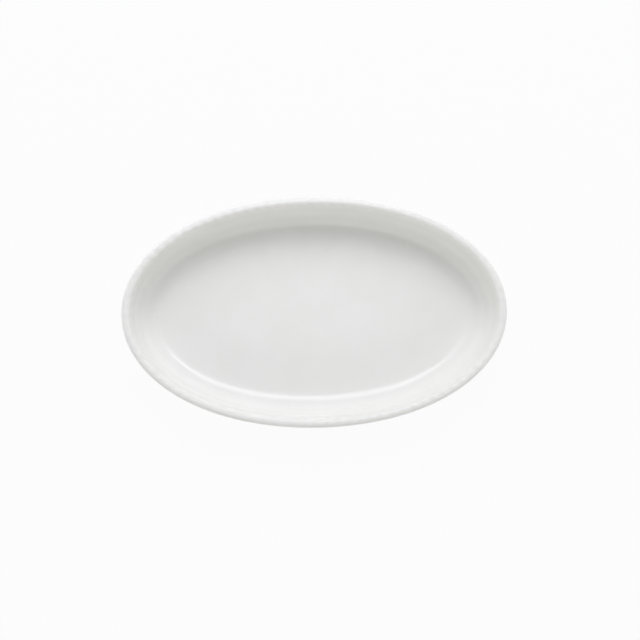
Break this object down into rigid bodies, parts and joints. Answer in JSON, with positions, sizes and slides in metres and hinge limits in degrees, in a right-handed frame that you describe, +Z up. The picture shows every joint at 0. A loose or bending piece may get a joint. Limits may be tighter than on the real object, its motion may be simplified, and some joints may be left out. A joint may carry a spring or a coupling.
{
  "type": "oval gratin dish",
  "caption": "Shallow oval ceramic baking dish with leaning walls, a wide cove, a swollen fluted lip and a bare foot ring, coated in glossy white glaze.",
  "frame": {"origin": "centre of the oval, on the plane that the foot ring stands on", "axes": "+X along the dish's length, +Y across it, +Z up out of the open mouth"},
  "size_m": [0.3, 0.18, 0.045],
  "materials": {
    "bare_clay": "unglazed fired clay, fine grained and matt, seen only on the foot ring",
    "white_glaze": "glossy opaque white glaze",
    "thin_base_glaze": "thinner glossy white glaze inside the foot ring"
  },
  "bodies": {
    "root": {"dish_body": "bare_clay", "glaze_coat": "white_glaze", "base_glaze": "thin_base_glaze"}
  },
  "joints": []
}
